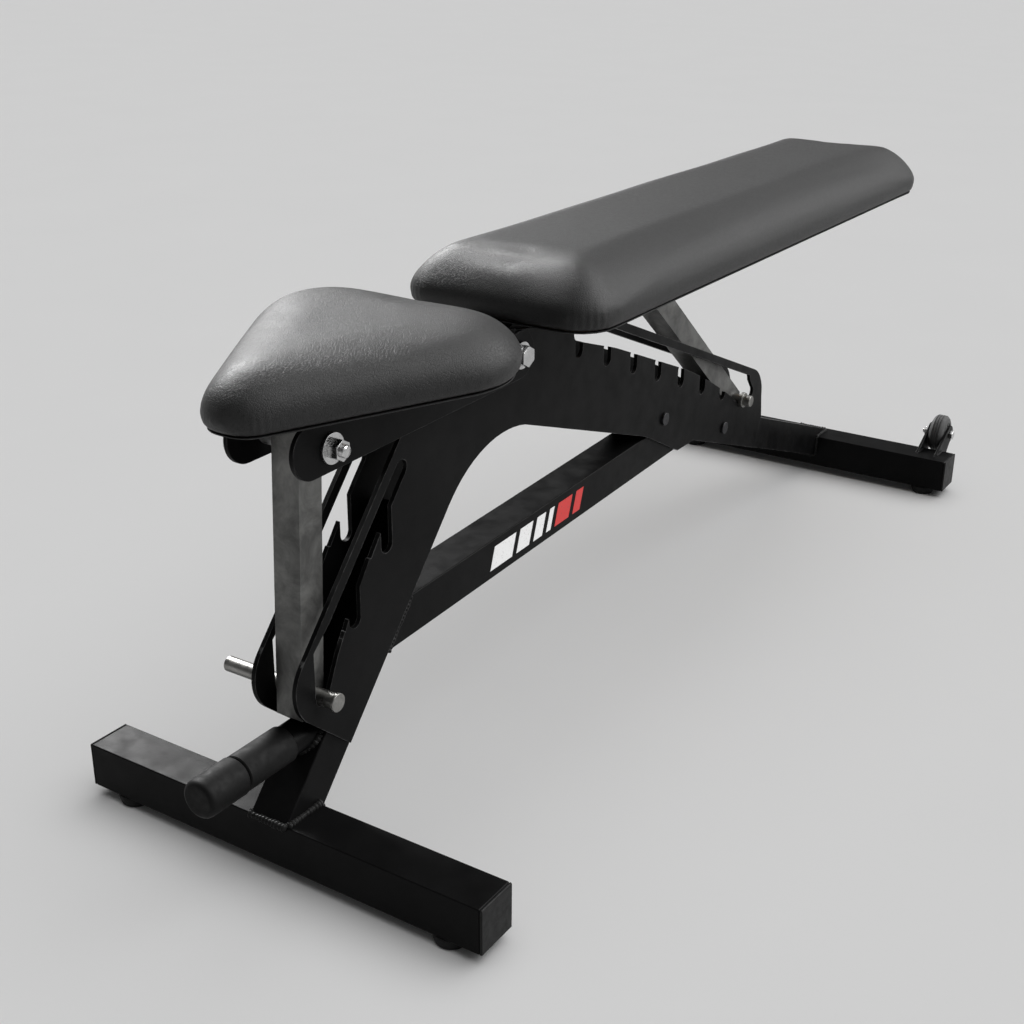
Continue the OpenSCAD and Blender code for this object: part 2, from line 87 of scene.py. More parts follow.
def add_camera():
    ahead = Vector((
        -math.sin(CAMERA_TURN) * math.cos(CAMERA_DOWN),
        math.cos(CAMERA_TURN) * math.cos(CAMERA_DOWN),
        -math.sin(CAMERA_DOWN),
    ))
    side = Vector((math.cos(CAMERA_TURN), math.sin(CAMERA_TURN), 0))
    up = side.cross(ahead)
    right = side * math.cos(CAMERA_ROLL) + up * math.sin(CAMERA_ROLL)
    top = up * math.cos(CAMERA_ROLL) - side * math.sin(CAMERA_ROLL)
    data = bpy.data.cameras.new("camera")
    data.lens = CAMERA_LENS
    data.sensor_width = SENSOR
    data.clip_start = 0.05
    data.clip_end = 200
    camera = bpy.data.objects.new("camera", data)
    turn = Matrix((right, top, -ahead)).transposed().to_4x4()
    camera.matrix_world = Matrix.Translation(CAMERA_AT) @ turn
    bpy.context.scene.collection.objects.link(camera)
    bpy.context.scene.camera = camera


# ---------------------------------------------------------------- materials

class Shader:
    """A node material under construction. Texture space is the object's own, in metres."""

    def __init__(self, name, metallic=0.0, roughness=0.5, specular=0.5):
        self.material = bpy.data.materials.new(name)
        self.material.use_nodes = True
        self.tree = self.material.node_tree
        self.tree.nodes.clear()
        self.out = self.node("ShaderNodeOutputMaterial")
        self.bsdf = self.node("ShaderNodeBsdfPrincipled")
        self.tree.links.new(self.bsdf.outputs[0], self.out.inputs[0])
        self.coords = self.node("ShaderNodeTexCoord").outputs["Object"]
        self.bsdf.inputs["Metallic"].default_value = metallic
        self.bsdf.inputs["Roughness"].default_value = roughness
        self.bsdf.inputs["Specular IOR Level"].default_value = specular
        self.normal = None

    def node(self, kind, **values):
        made = self.tree.nodes.new(kind)
        for key, value in values.items():
            setattr(made, key, value)
        return made

    def put(self, socket, value):
        if hasattr(value, "links"):
            self.tree.links.new(value, socket)
        else:
            socket.default_value = value

    def stretched(self, scale):
        made = self.node("ShaderNodeMapping")
        self.put(made.inputs["Vector"], self.coords)
        made.inputs["Scale"].default_value = scale
        return made.outputs[0]

    def noise(self, scale, detail=3.0, rough=0.55, vector=None, distortion=0.0):
        made = self.node("ShaderNodeTexNoise")
        self.put(made.inputs["Vector"], vector or self.coords)
        made.inputs["Scale"].default_value = scale
        made.inputs["Detail"].default_value = detail
        made.inputs["Roughness"].default_value = rough
        made.inputs["Distortion"].default_value = distortion
        return made.outputs["Fac"]

    def voronoi(self, scale, feature, vector):
        made = self.node("ShaderNodeTexVoronoi", feature=feature)
        self.put(made.inputs["Vector"], vector)
        made.inputs["Scale"].default_value = scale
        return made.outputs["Distance"]

    def warped(self, scale, amount):
        """The texture space, pushed about by a noise."""
        push = self.node("ShaderNodeTexNoise")
        self.put(push.inputs["Vector"], self.coords)
        push.inputs["Scale"].default_value = scale
        add = self.node("ShaderNodeVectorMath", operation="MULTIPLY_ADD")
        self.put(add.inputs[0], push.outputs["Color"])
        add.inputs[1].default_value = (amount,) * 3
        self.put(add.inputs[2], self.coords)
        return add.outputs[0]

    def ramp(self, value, low, high, to_low=0.0, to_high=1.0):
        made = self.node("ShaderNodeMapRange")
        self.put(made.inputs["Value"], value)
        for socket, number in zip(("From Min", "From Max", "To Min", "To Max"), (low, high, to_low, to_high)):
            made.inputs[socket].default_value = number
        return made.outputs[0]

    def math(self, operation, a, b=0.5):
        made = self.node("ShaderNodeMath", operation=operation)
        self.put(made.inputs[0], a)
        self.put(made.inputs[1], b)
        return made.outputs[0]

    def mix(self, factor, a, b):
        made = self.node("ShaderNodeMix", data_type="RGBA")
        self.put(made.inputs["Factor"], factor)
        self.put(made.inputs["A"], (*a, 1) if isinstance(a, tuple) else a)
        self.put(made.inputs["B"], (*b, 1) if isinstance(b, tuple) else b)
        return made.outputs["Result"]

    def edges(self, radius):
        """1 along outer edges and 0 on flat faces."""
        bevel = self.node("ShaderNodeBevel", samples=4)
        bevel.inputs["Radius"].default_value = radius
        flat = self.node("ShaderNodeNewGeometry").outputs["Normal"]
        dot = self.node("ShaderNodeVectorMath", operation="DOT_PRODUCT")
        self.put(dot.inputs[0], bevel.outputs[0])
        self.put(dot.inputs[1], flat)
        return self.ramp(dot.outputs["Value"], 0.985, 0.86)

    def colour(self, value):
        self.put(self.bsdf.inputs["Base Color"], (*value, 1) if isinstance(value, tuple) else value)

    def rough(self, value):
        self.put(self.bsdf.inputs["Roughness"], value)

    def bump(self, height, strength, distance):
        made = self.node("ShaderNodeBump")
        made.inputs["Strength"].default_value = strength
        made.inputs["Distance"].default_value = distance
        self.put(made.inputs["Height"], height)
        if self.normal:
            self.put(made.inputs["Normal"], self.normal)
        self.normal = made.outputs[0]
        self.put(self.bsdf.inputs["Normal"], self.normal)


def powder_coat(name, dark, light, roughness, edge_rub_and_highlight):
    s = Shader(name, roughness=roughness, specular=0.055)
    patches = s.ramp(s.noise(9, 4, 0.6), 0.35, 0.7)
    paint = s.mix(patches, dark, light)
    # Outer edges are painted a lighter grey, broken up by noise. This is partly edge wear and partly a
    # painted highlight where the edges catch the light.
    rubbed_and_lit_edges = s.math("MULTIPLY", s.edges(0.0012), s.ramp(s.noise(60, 4, 0.7), 0.42, 0.62, 0.15, 1.0))
    s.colour(s.mix(s.math("MULTIPLY", rubbed_and_lit_edges, edge_rub_and_highlight), paint, (0.15, 0.15, 0.15)))
    s.rough(s.ramp(s.noise(45, 3), 0.3, 0.7, roughness - 0.07, roughness + 0.09))
    s.bump(s.noise(650, 2, 0.5), 0.16, 0.0003)
    s.bump(s.noise(60, 2, 0.5), 0.10, 0.0006)
    return s.material


def vinyl():
    s = Shader("vinyl_grain", roughness=0.45, specular=0.30)
    warp = s.warped(160, 0.0022)
    cells = s.voronoi(400, "DISTANCE_TO_EDGE", warp)
    fine = s.voronoi(1150, "F1", warp)
    patches = s.ramp(s.noise(7, 4, 0.6), 0.3, 0.7)
    creases = s.ramp(cells, 0.0, 0.09)
    base = s.mix(patches, (0.015, 0.015, 0.015), (0.020, 0.020, 0.020))
    # The creases of the grain are painted darker: painted shade in the creases.
    s.colour(s.mix(creases, (0.008, 0.008, 0.008), base))
    s.rough(s.ramp(s.noise(300, 3), 0.3, 0.7, 0.42, 0.52))
    s.bump(s.noise(38, 4, 0.6, distortion=0.8), 0.28, 0.0012)
    s.bump(creases, 0.42, 0.00035)
    s.bump(fine, 0.16, 0.00015)
    return s.material


def mill_steel(name, dark, light, roughness, scale, stretch=(1, 1, 1), metallic=0.85):
    """Zinc or mill-finish steel with cloudy patches, and lines along the stretched direction."""
    s = Shader(name, metallic=metallic, roughness=roughness)
    clouds = s.ramp(s.noise(scale, 5, 0.65, distortion=0.6), 0.32, 0.68)
    flecks = s.ramp(s.noise(scale * 9, 3, 0.6), 0.35, 0.75, 0.75, 1.0)
    s.colour(s.mix(s.math("MULTIPLY", flecks, clouds), dark, light))
    lines = s.noise(900, 2, 0.5, vector=s.stretched(stretch))
    s.rough(s.ramp(s.noise(scale * 2.5, 4), 0.3, 0.7, roughness - 0.1, roughness + 0.12))
    s.bump(lines, 0.12, 0.0002)
    s.bump(clouds, 0.06, 0.0004)
    return s.material


def bright(name, colour, roughness):
    s = Shader(name, metallic=1.0, roughness=roughness)
    s.colour(s.mix(s.ramp(s.noise(90, 4), 0.35, 0.7), colour, tuple(c * 0.78 for c in colour)))
    s.rough(s.ramp(s.noise(240, 3), 0.3, 0.7, roughness * 0.7, roughness * 1.5))
    s.bump(s.noise(700, 2), 0.06, 0.0002)
    return s.material


def rubber(name, colour, roughness, scale=900, depth=0.0003):
    s = Shader(name, roughness=roughness, specular=0.16)
    dust = s.ramp(s.noise(25, 4, 0.65), 0.4, 0.75)
    s.colour(s.mix(dust, colour, tuple(c * 1.4 + 0.001 for c in colour)))
    s.rough(s.ramp(s.noise(120, 3), 0.3, 0.7, roughness - 0.08, roughness + 0.1))
    s.bump(s.noise(scale, 3, 0.6), 0.35, depth)
    return s.material


def plywood():
    s = Shader("plywood_raw", roughness=0.7, specular=0.3)
    grain = s.noise(9, 5, 0.6, vector=s.stretched((9, 1, 9)), distortion=1.2)
    fibre = s.noise(60, 3, 0.6, vector=s.stretched((14, 1, 14)))
    base = s.mix(s.ramp(grain, 0.3, 0.7), (0.30, 0.20, 0.115), (0.46, 0.33, 0.20))
    s.colour(s.mix(s.ramp(fibre, 0.45, 0.7, 0, 0.5), base, (0.24, 0.155, 0.085)))
    s.bump(fibre, 0.3, 0.0004)
    return s.material


def ink(name, colour):
    s = Shader(name, roughness=0.4, specular=0.5)
    worn = s.ramp(s.noise(420, 4, 0.7), 0.60, 0.72)
    s.colour(s.mix(worn, colour, (0.05, 0.05, 0.05)))
    s.bump(s.noise(650, 2), 0.1, 0.0002)
    return s.material


BLACK = powder_coat("powder_coat_frame", (0.0026, 0.0026, 0.0027), (0.0048, 0.0048, 0.0049), 0.36, 0.5)
PLATE = powder_coat("powder_coat_plate", (0.0028, 0.0028, 0.0029), (0.0050, 0.0050, 0.0051), 0.38, 0.65)
WELD = powder_coat("powder_coat_weld", (0.009, 0.009, 0.009), (0.016, 0.016, 0.016), 0.30, 0.9)
VINYL = vinyl()
ZINC = mill_steel("zinc_post", (0.052, 0.052, 0.050), (0.185, 0.185, 0.178), 0.42, 22, (6, 1, 0.4), 0.55)
PIN = mill_steel("steel_pin", (0.19, 0.187, 0.18), (0.36, 0.355, 0.34), 0.36, 60, (12, 1, 1), 1.0)
BOLT = bright("bright_bolt", (0.62, 0.62, 0.62), 0.22)
OXIDE = bright("black_oxide", (0.055, 0.055, 0.058), 0.42)
SPACER = bright("satin_spacer", (0.33, 0.33, 0.33), 0.4)
RUBBER = rubber("foot_rubber", (0.011, 0.011, 0.011), 0.62)
GRIP = rubber("grip_rubber", (0.0022, 0.0022, 0.0022), 0.62, 1400, 0.0002)
PLASTIC = rubber("cap_plastic", (0.0040, 0.0040, 0.0040), 0.46, 1600, 0.0001)
TYRE = rubber("wheel_tyre", (0.060, 0.060, 0.060), 0.6, 500, 0.0004)
HUB = rubber("wheel_hub", (0.14, 0.14, 0.14), 0.5, 1200, 0.0001)
WOOD = plywood()
WHITE_INK = ink("ink_white", (0.72, 0.72, 0.72))
RED_INK = ink("ink_red", (0.52, 0.022, 0.02))


# ---------------------------------------------------------------- mesh helpers

def piece(name, mesh, material, body, replaces=()):
    made = bpy.data.objects.new(name, mesh)
    bpy.context.scene.collection.objects.link(made)
    mesh.materials.clear()
    mesh.materials.append(material)
    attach(made, body)
    if replaces:
        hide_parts(*replaces)
    return made


def mesh_of(name, verts, faces, smooth=35):
    mesh = bpy.data.meshes.new(name)
    mesh.from_pydata([tuple(v) for v in verts], [], faces)
    tidy = bmesh.new()
    tidy.from_mesh(mesh)
    bmesh.ops.recalc_face_normals(tidy, faces=tidy.faces)
    tidy.to_mesh(mesh)
    tidy.free()
    mesh.shade_smooth()
    mesh.set_sharp_from_angle(angle=math.radians(smooth))
    return mesh


def baked(name, source, modifiers, smooth=35):
    """The mesh with (kind, settings) modifiers applied. With no angle it keeps the normals they made."""
    helper = bpy.data.objects.new(name + "_helper", source)
    bpy.context.scene.collection.objects.link(helper)
    for kind, settings in modifiers:
        modifier = helper.modifiers.new(kind, kind)
        for key, value in settings.items():
            setattr(modifier, key, value)
    result = bpy.data.meshes.new_from_object(helper.evaluated_get(bpy.context.evaluated_depsgraph_get()))
    bpy.data.objects.remove(helper)
    result.name = name
    if smooth is not None:
        result.shade_smooth()
        result.set_sharp_from_angle(angle=math.radians(smooth))
    return result


def finished(node, material, width, segments=3, limit=40):
    """The CAD node with its outer edges rounded over."""
    mesh = NODES[node].data.copy()
    work = bmesh.new()
    work.from_mesh(mesh)
    bmesh.ops.remove_doubles(work, verts=work.verts, dist=2e-6)
    bmesh.ops.dissolve_limit(work, angle_limit=math.radians(0.6), verts=work.verts, edges=work.edges)
    work.to_mesh(mesh)
    work.free()
    rounding = dict(
        width=width, segments=segments, limit_method="ANGLE", angle_limit=math.radians(limit),
        miter_outer="MITER_ARC", use_clamp_overlap=True,
    )
    mesh.shade_smooth()
    flat = dict(mode="FACE_AREA", weight=100, thresh=0.01)
    result = baked(node + "_finish", mesh, [("BEVEL", rounding), ("WEIGHTED_NORMAL", flat)], None)
    return piece(node + "_finish", result, material, NODES[node]["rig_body"], [node])


def turned_rings(profile, origin, axis, turns):
    """One ring of vertices for each (distance along axis, radius) of the profile, in metres."""
    axis = Vector(axis).normalized()
    side = axis.orthogonal().normalized()
    other = axis.cross(side)
    verts = []
    for along, radius in profile:
        for k in range(turns):
            a = TAU * k / turns
            verts.append(Vector(origin) + axis * along + (side * math.cos(a) + other * math.sin(a)) * radius)
    return verts


def skinned(ring_pairs, turns):
    """Quads between pairs of rings."""
    faces = []
    for i, j in ring_pairs:
        for k in range(turns):
            n = (k + 1) % turns
            faces.append((i * turns + k, i * turns + n, j * turns + n, j * turns + k))
    return faces


def lathe(name, profile, origin, axis, turns=48, smooth=35):
    """A closed turned shape, capped at both ends."""
    verts = turned_rings(profile, origin, axis, turns)
    last = len(profile) - 1
    faces = skinned([(i, i + 1) for i in range(last)], turns)
    faces.append(tuple(range(turns)))
    faces.append(tuple(last * turns + k for k in range(turns)))
    return mesh_of(name, verts, faces, smooth)


def ring_lathe(name, profile, origin, axis, turns=48):
    """A turned ring: the profile is closed on itself and keeps off the axis."""
    verts = turned_rings(profile, origin, axis, turns)
    count = len(profile)
    return mesh_of(name, verts, skinned([(i, (i + 1) % count) for i in range(count)], turns))


def bead(points, radius=0.0032, pitch=0.0042, seed=0.0, sides=10):
    """A rippled weld bead along a path: verts and faces."""
    path = [Vector(p) for p in points]
    spans = [(b - a).length for a, b in zip(path, path[1:])]
    total = sum(spans)
    steps = max(6, int(total / pitch * 5))
    verts = []
    for i in range(steps + 1):
        s = total * i / steps
        left, k = s, 0
        while k < len(spans) - 1 and left > spans[k]:
            left -= spans[k]
            k += 1
        along = (path[k + 1] - path[k]).normalized()
        centre = path[k] + along * left
        side = along.orthogonal().normalized()
        other = along.cross(side)
        ripple = abs(math.sin(math.pi * s / pitch))
        lump = 1 + 0.45 * noise.noise(centre * 110 + Vector((seed, 0, 0)))
        r = radius * (0.72 + 0.28 * ripple) * lump
        if i in (0, steps):
            r *= 0.35
        for q in range(sides):
            a = TAU * q / sides
            verts.append(centre + side * (r * math.cos(a)) + other * (r * math.sin(a)))
    faces = skinned([(i, i + 1) for i in range(steps)], sides)
    faces.append(tuple(range(sides)))
    faces.append(tuple(steps * sides + q for q in range(sides)))
    return verts, faces


def welds(name, paths, body, radius=0.0032):
    """All the beads of one joint, as one piece."""
    verts, faces = [], []
    for k, path in enumerate(paths):
        v, f = bead(path, radius, seed=3.7 * k)
        faces += [tuple(i + len(verts) for i in face) for face in f]
        verts += v
    return piece(name, mesh_of(name, verts, faces, 60), WELD, body)


# ---------------------------------------------------------------- pads

PAD_SEGMENTS = 176
OUTLINE_STEPS = 4000
VOXEL = 0.0050
SIM_FRAMES = 20
PAD_PRESSURE = 0.8
PAD_SWELL = 0.0018
PAD_Z = 0.472
SEAT_THICK = 0.062
LIFT = 0.0008
STAPLE_STEP = 4


def rounded_outline(discs, count):
    """Evenly spaced points round the hull of discs (x, y, r), each mirrored in x."""
    both = [(sx * x, y, r) for x, y, r in discs for sx in (1, -1)]
    fine = []
    for k in range(OUTLINE_STEPS):
        a = TAU * k / OUTLINE_STEPS
        d = (math.cos(a), math.sin(a))
        x, y, r = max(both, key=lambda c: c[0] * d[0] + c[1] * d[1] + c[2])
        fine.append(Vector((x + r * d[0], y + r * d[1])))
    fine.append(fine[0])
    reach = [0.0]
    for p, q in zip(fine, fine[1:]):
        reach.append(reach[-1] + (q - p).length)
    points, k = [], 0
    for i in range(count):
        s = reach[-1] * i / count
        while reach[k + 1] < s:
            k += 1
        t = (s - reach[k]) / max(reach[k + 1] - reach[k], 1e-9)
        points.append(fine[k].lerp(fine[k + 1], t))
    return points


def pad_shape(node, place, z0, t, slack):
    """The outside of the CAD pad as one closed convex form, laid level, with its base lifted a little."""
    work = bmesh.new()
    work.from_mesh(NODES[node].data)
    work.transform(place.inverted())
    hull = bmesh.ops.convex_hull(work, input=work.verts)
    spare = [v for v in hull["geom_interior"] + hull["geom_unused"] if isinstance(v, bmesh.types.BMVert)]
    bmesh.ops.delete(work, geom=list(set(spare)), context="VERTS")
    for face in [f for f in work.faces if f.calc_area() < 1e-12]:
        work.faces.remove(face)
    for v in work.verts:
        v.co.z = z0 + LIFT + (v.co.z - z0) * (1 - (LIFT + slack) / t)
    mesh = bpy.data.meshes.new(node + "_hull")
    work.to_mesh(mesh)
    work.free()
    return mesh


def puffed(mesh, name, z0, pressure, cap, keep=0.002):
    """The pad swollen by a cloth simulation, no point by more than the cap, with its base held flat."""
    helper = bpy.data.objects.new(name + "_sim", mesh)
    bpy.context.scene.collection.objects.link(helper)
    held = helper.vertex_groups.new(name="held")
    held.add([v.index for v in mesh.vertices if v.co.z < z0 + keep], 1.0, "REPLACE")
    cloth = helper.modifiers.new("cloth", "CLOTH")
    cloth.settings.quality = 5
    cloth.settings.mass = 0.35
    cloth.settings.tension_stiffness = 22
    cloth.settings.compression_stiffness = 22
    cloth.settings.shear_stiffness = 8
    cloth.settings.bending_stiffness = 1.5
    cloth.settings.use_pressure = True
    cloth.settings.uniform_pressure_force = pressure
    cloth.settings.effector_weights.gravity = 0
    cloth.settings.vertex_group_mass = "held"
    cloth.collision_settings.use_collision = False
    cloth.point_cache.frame_start = 1
    cloth.point_cache.frame_end = SIM_FRAMES
    for step in range(1, SIM_FRAMES + 1):
        bpy.context.scene.frame_set(step)
    swollen = bpy.data.meshes.new_from_object(helper.evaluated_get(bpy.context.evaluated_depsgraph_get()))
    for rest, moved in zip(mesh.vertices, swollen.vertices):
        shift = moved.co - rest.co
        if shift.length > cap:
            moved.co = rest.co + shift * (cap / shift.length)
        if rest.co.z < z0 + keep:
            moved.co = rest.co
    bpy.data.objects.remove(helper)
    bpy.context.scene.frame_set(1)
    return swollen


def upholster(mesh, z0, t, discs):
    """Small unevenness of stretched vinyl: slow waves on top, and pleats low on the corners."""
    for v in mesh.vertices:
        h = (v.co.z - z0) / t
        slow = noise.noise(Vector((v.co.x * 9, v.co.y * 7, v.co.z * 9)))
        v.co.z += 0.0009 * slow * max(0.0, min(1.0, (h - 0.3) * 3))
        if 0.02 < h < 0.5:
            for x, y, r in discs:
                centre = Vector((math.copysign(x, v.co.x), y))
                off = Vector((v.co.x, v.co.y)) - centre
                outward = abs(v.co.x) > x and (off.y * (1 if y > discs[0][1] else -1) > 0)
                if outward and off.length > r * 0.55:
                    angle = math.atan2(abs(off.y), abs(off.x))
                    corner = math.sin(2 * min(angle, math.pi / 2)) ** 2
                    fade = max(0.0, 1 - h / 0.42) * min(1.0, h / 0.08)
                    pleat = 0.0007 * math.sin(angle * 34) * corner * fade
                    v.co.x += off.x / off.length * pleat
                    v.co.y += off.y / off.length * pleat
    return mesh


SEAT_TILT = math.radians(2.6)
SEAT_TILT_AT = at(0, 150, 472)
LEVEL = Matrix.Identity(4)
SEAT_TILTED = (
    Matrix.Translation(SEAT_TILT_AT) @ Matrix.Rotation(SEAT_TILT, 4, "X") @ Matrix.Translation(-SEAT_TILT_AT)
)


def fit_outline(mesh, wanted):
    """Stretch the mesh level so that it is as wide and as long as the wanted one."""
    for axis in (0, 1):
        have = [v.co[axis] for v in mesh.vertices]
        want = [v.co[axis] for v in wanted.vertices]
        start, wanted_start = min(have), min(want)
        gain = (max(want) - wanted_start) / (max(have) - start)
        for v, place in zip(mesh.vertices, have):
            v.co[axis] = wanted_start + (place - start) * gain


def make_pad(node, body, discs, z0, t, place, rounding, slack):
    name = node + "_vinyl"
    shape = pad_shape(node, place, z0, t, slack)
    crisp = baked(name + "_grid", shape, [("REMESH", dict(mode="VOXEL", voxel_size=VOXEL))], 180)
    grid = baked(name + "_round", crisp, [("SMOOTH", dict(factor=0.5, iterations=rounding))], 180)
    fit_outline(grid, crisp)
    for sharp, soft in zip(crisp.vertices, grid.vertices):
        h = (sharp.co.z - z0 - LIFT) / t
        soft.co = sharp.co.lerp(soft.co, max(0.0, min(1.0, (h - 0.03) / 0.22)))
    grid = puffed(grid, name, z0 + LIFT, PAD_PRESSURE, PAD_SWELL)
    result = baked(name, grid, [
        ("SMOOTH", dict(factor=0.5, iterations=8)),
        ("SUBSURF", dict(levels=1, render_levels=1)),
    ], 180)
    upholster(result, z0, t, discs)
    result.transform(place)
    made = piece(name, result, VINYL, body, [node])
    return made


def hem(node, body, discs, spine, z0, place):
    """The vinyl turned under the board, with the staples that hold it."""
    outline = rounded_outline(discs, PAD_SEGMENTS)
    centre = [Vector((0, min(max(p.y, spine[0]), spine[1]))) for p in outline]
    inner, outer, drop = 0.034, 0.0065, 0.0011
    verts = []
    profile = [(outer, 0.0008), (outer, -0.0002), (outer + 0.002, -drop)]
    profile += [(inner - 0.002, -drop), (inner, -0.0004), (inner, 0.0008)]
    n = PAD_SEGMENTS
    for inset, dz in profile:
        for k, (p, c) in enumerate(zip(outline, centre)):
            d = (c - p).normalized()
            ragged = 0.0018 * noise.noise(Vector((k * 0.37, inset * 40, 1.7))) if inset > 0.03 else 0.0
            q = p + d * (inset + ragged)
            pucker = -0.0003 * abs(math.sin(k * 1.3)) if inset > 0.01 and dz < 0 else 0
            verts.append(place @ Vector((q.x, q.y, z0 + dz + pucker)))
    count = len(profile)
    faces = skinned([(i, (i + 1) % count) for i in range(count)], n)
    piece(node + "_hem", mesh_of(node + "_hem", verts, faces, 50), VINYL, body)
    verts, faces = [], []
    for k in range(0, n, STAPLE_STEP):
        p, c, after = outline[k], centre[k], outline[(k + 1) % n]
        d = (c - p).normalized()
        along = (after - p).normalized()
        mid = p + d * 0.024
        half, thick = 0.0052, 0.0006
        base = len(verts)
        for z in (z0 - drop + 0.0002, z0 - drop - 0.0008):
            for sx, sy in ((-1, -1), (1, -1), (1, 1), (-1, 1)):
                q = mid + along * (sx * half) + d * (sy * thick)
                verts.append(place @ Vector((q.x, q.y, z)))
        for face in BOX_FACES:
            faces.append(tuple(base + i for i in face))
    piece(node + "_staples", mesh_of(node + "_staples", verts, faces), SPACER, body)


def add_pads():
    _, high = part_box("seat_pad")
    front_r, front_x, rear_r = 0.038, 0.005, 0.077
    front, rear, half = at(0, -29, 0).y, at(0, 279, 0).y, high.x
    discs = [(front_x, front + front_r, front_r), (half - rear_r, rear - rear_r, rear_r)]
    spine = (front + front_r + 0.006, rear - 0.115)
    make_pad("seat_pad", "seat", discs, PAD_Z, SEAT_THICK, SEAT_TILTED, 80, 0.0060)
    hem("seat_pad", "seat", discs, spine, PAD_Z, SEAT_TILTED)
    low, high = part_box("back_pad")
    r = 0.048
    discs = [(high.x - r, low.y + r, r), (high.x - r, high.y - r, r)]
    spine = (low.y + high.x, high.y - high.x)
    make_pad("back_pad", "back", discs, low.z, high.z - low.z, LEVEL, 48, 0.0030)
    hem("back_pad", "back", discs, spine, low.z, LEVEL)


# ---------------------------------------------------------------- metal parts

FRAME_WORK = [
    ("front_foot", BLACK, "frame_black", 0.0034),
    ("rear_foot", BLACK, "frame_black", 0.0034),
    ("front_leg", BLACK, "frame_black", 0.0030),
    ("spine_tube", BLACK, "frame_black", 0.0030),
    ("rear_leg", BLACK, "frame_black", 0.0030),
    ("side_plate_left", PLATE, "plate_black", 0.0005),
    ("side_plate_right", PLATE, "plate_black", 0.0005),
    ("seat_bar_left", PLATE, "plate_black", 0.0005),
    ("seat_bar_right", PLATE, "plate_black", 0.0005),
    ("seat_straps", PLATE, "plate_black", 0.0004),
    ("back_ears", PLATE, "plate_black", 0.0005),
    ("wheel_bracket_left", PLATE, "plate_black", 0.0005),
    ("wheel_bracket_right", PLATE, "plate_black", 0.0005),
    ("back_frame", PLATE, "plate_black", 0.0006),
    ("seat_post", ZINC, "zinc_post", 0.0026),
    ("back_post", ZINC, "zinc_post", 0.0026),
    ("seat_pin", PIN, "steel_pin", 0.0010),
    ("back_pin", PIN, "steel_pin", 0.0010),
    ("back_pin_collars", PIN, "steel_pin", 0.0006),
    ("front_foot_caps", PLASTIC, "cap_plastic", 0.0014),
    ("rear_foot_caps", PLASTIC, "cap_plastic", 0.0014),
    ("seat_post_cap", PLASTIC, "cap_plastic", 0.0010),
    ("back_frame_cap", PLASTIC, "cap_plastic", 0.0010),
    ("rubber_feet", RUBBER, "rubber_black", 0.0015),
    ("pivot_bolt", BOLT, "chrome_bolt", 0.0008),
    ("pivot_nut", BOLT, "chrome_bolt", 0.0008),
    ("pivot_washers", BOLT, "chrome_bolt", 0.0004),
    ("pivot_spacers", SPACER, "steel_spacer", 0.0005),
    ("seat_post_bolt", BOLT, "chrome_bolt", 0.0008),
    ("seat_post_nut", BOLT, "chrome_bolt", 0.0008),
    ("seat_post_washers", BOLT, "chrome_bolt", 0.0004),
    ("seat_post_spacers", SPACER, "steel_spacer", 0.0005),
    ("frame_bolts", OXIDE, "black_oxide", 0.0007),
    ("frame_nuts", OXIDE, "black_oxide", 0.0007),
    ("back_post_bolt", OXIDE, "black_oxide", 0.0007),
    ("back_post_nut", OXIDE, "black_oxide", 0.0007),
    ("wheel_bolt_left", BOLT, "chrome_bolt", 0.0006),
    ("wheel_bolt_right", BOLT, "chrome_bolt", 0.0006),
    ("wheel_nut_left", BOLT, "chrome_bolt", 0.0006),
    ("wheel_nut_right", BOLT, "chrome_bolt", 0.0006),
    ("seat_screws", SPACER, "steel_spacer", 0.0005),
    ("back_screws", SPACER, "steel_spacer", 0.0005),
    ("seat_board", WOOD, "plywood", 0.0006),
    ("back_board", WOOD, "plywood", 0.0006),
]


THREAD_PITCH = 0.0015


def thread(name, centre, x0, x1, radius, body):
    """A threaded bolt end along X, from x0 to x1."""
    pitch = THREAD_PITCH
    deep, high = radius - 0.0002, radius + 0.00028
    profile, x = [], x0
    while x < x1 - pitch:
        profile += [(x, deep), (x + pitch * 0.35, high), (x + pitch * 0.65, high)]
        x += pitch
    profile += [(x, deep), (x1, deep - 0.0006)]
    mesh = lathe(name, profile, (0, centre.y, centre.z), (1, 0, 0), 40, 60)
    piece(name, mesh, BOLT, body)


def add_threads():
    pivot = Vector(JOINTS["back_hinge"]["pos_m"])
    hinge = Vector(JOINTS["seat_post_hinge"]["pos_m"])
    nut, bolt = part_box("seat_post_nut"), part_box("seat_post_bolt")
    thread("seat_post_thread", hinge, nut[1].x - 0.001, bolt[1].x + 0.0002, 0.006, "seat")
    nut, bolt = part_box("pivot_nut"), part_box("pivot_bolt")
    thread("pivot_thread", pivot, bolt[0].x - 0.0002, nut[0].x + 0.001, 0.008, "frame")


TUBE = 46
LEG_ANGLE = math.radians(48.7)
SPINE_ANGLE = math.radians(2.2)
REAR_ANGLE = math.radians(-19.8)


def leg_face(z, rear):
    """Y of the front leg's front or rear face at a height, in millimetres."""
    along = z - 62
    front = -0.6 + along / math.tan(LEG_ANGLE)
    return front + (TUBE / math.sin(LEG_ANGLE) if rear else 0)


SPINE_FROM = (248, 182.4)
REAR_LEG_FROM = (855, 200)


def spine_z(y, top):
    """Height of the spine's lower or upper face, in millimetres."""
    rise = (y - SPINE_FROM[0]) * math.tan(SPINE_ANGLE)
    return SPINE_FROM[1] + rise + (TUBE / math.cos(SPINE_ANGLE) if top else 0)


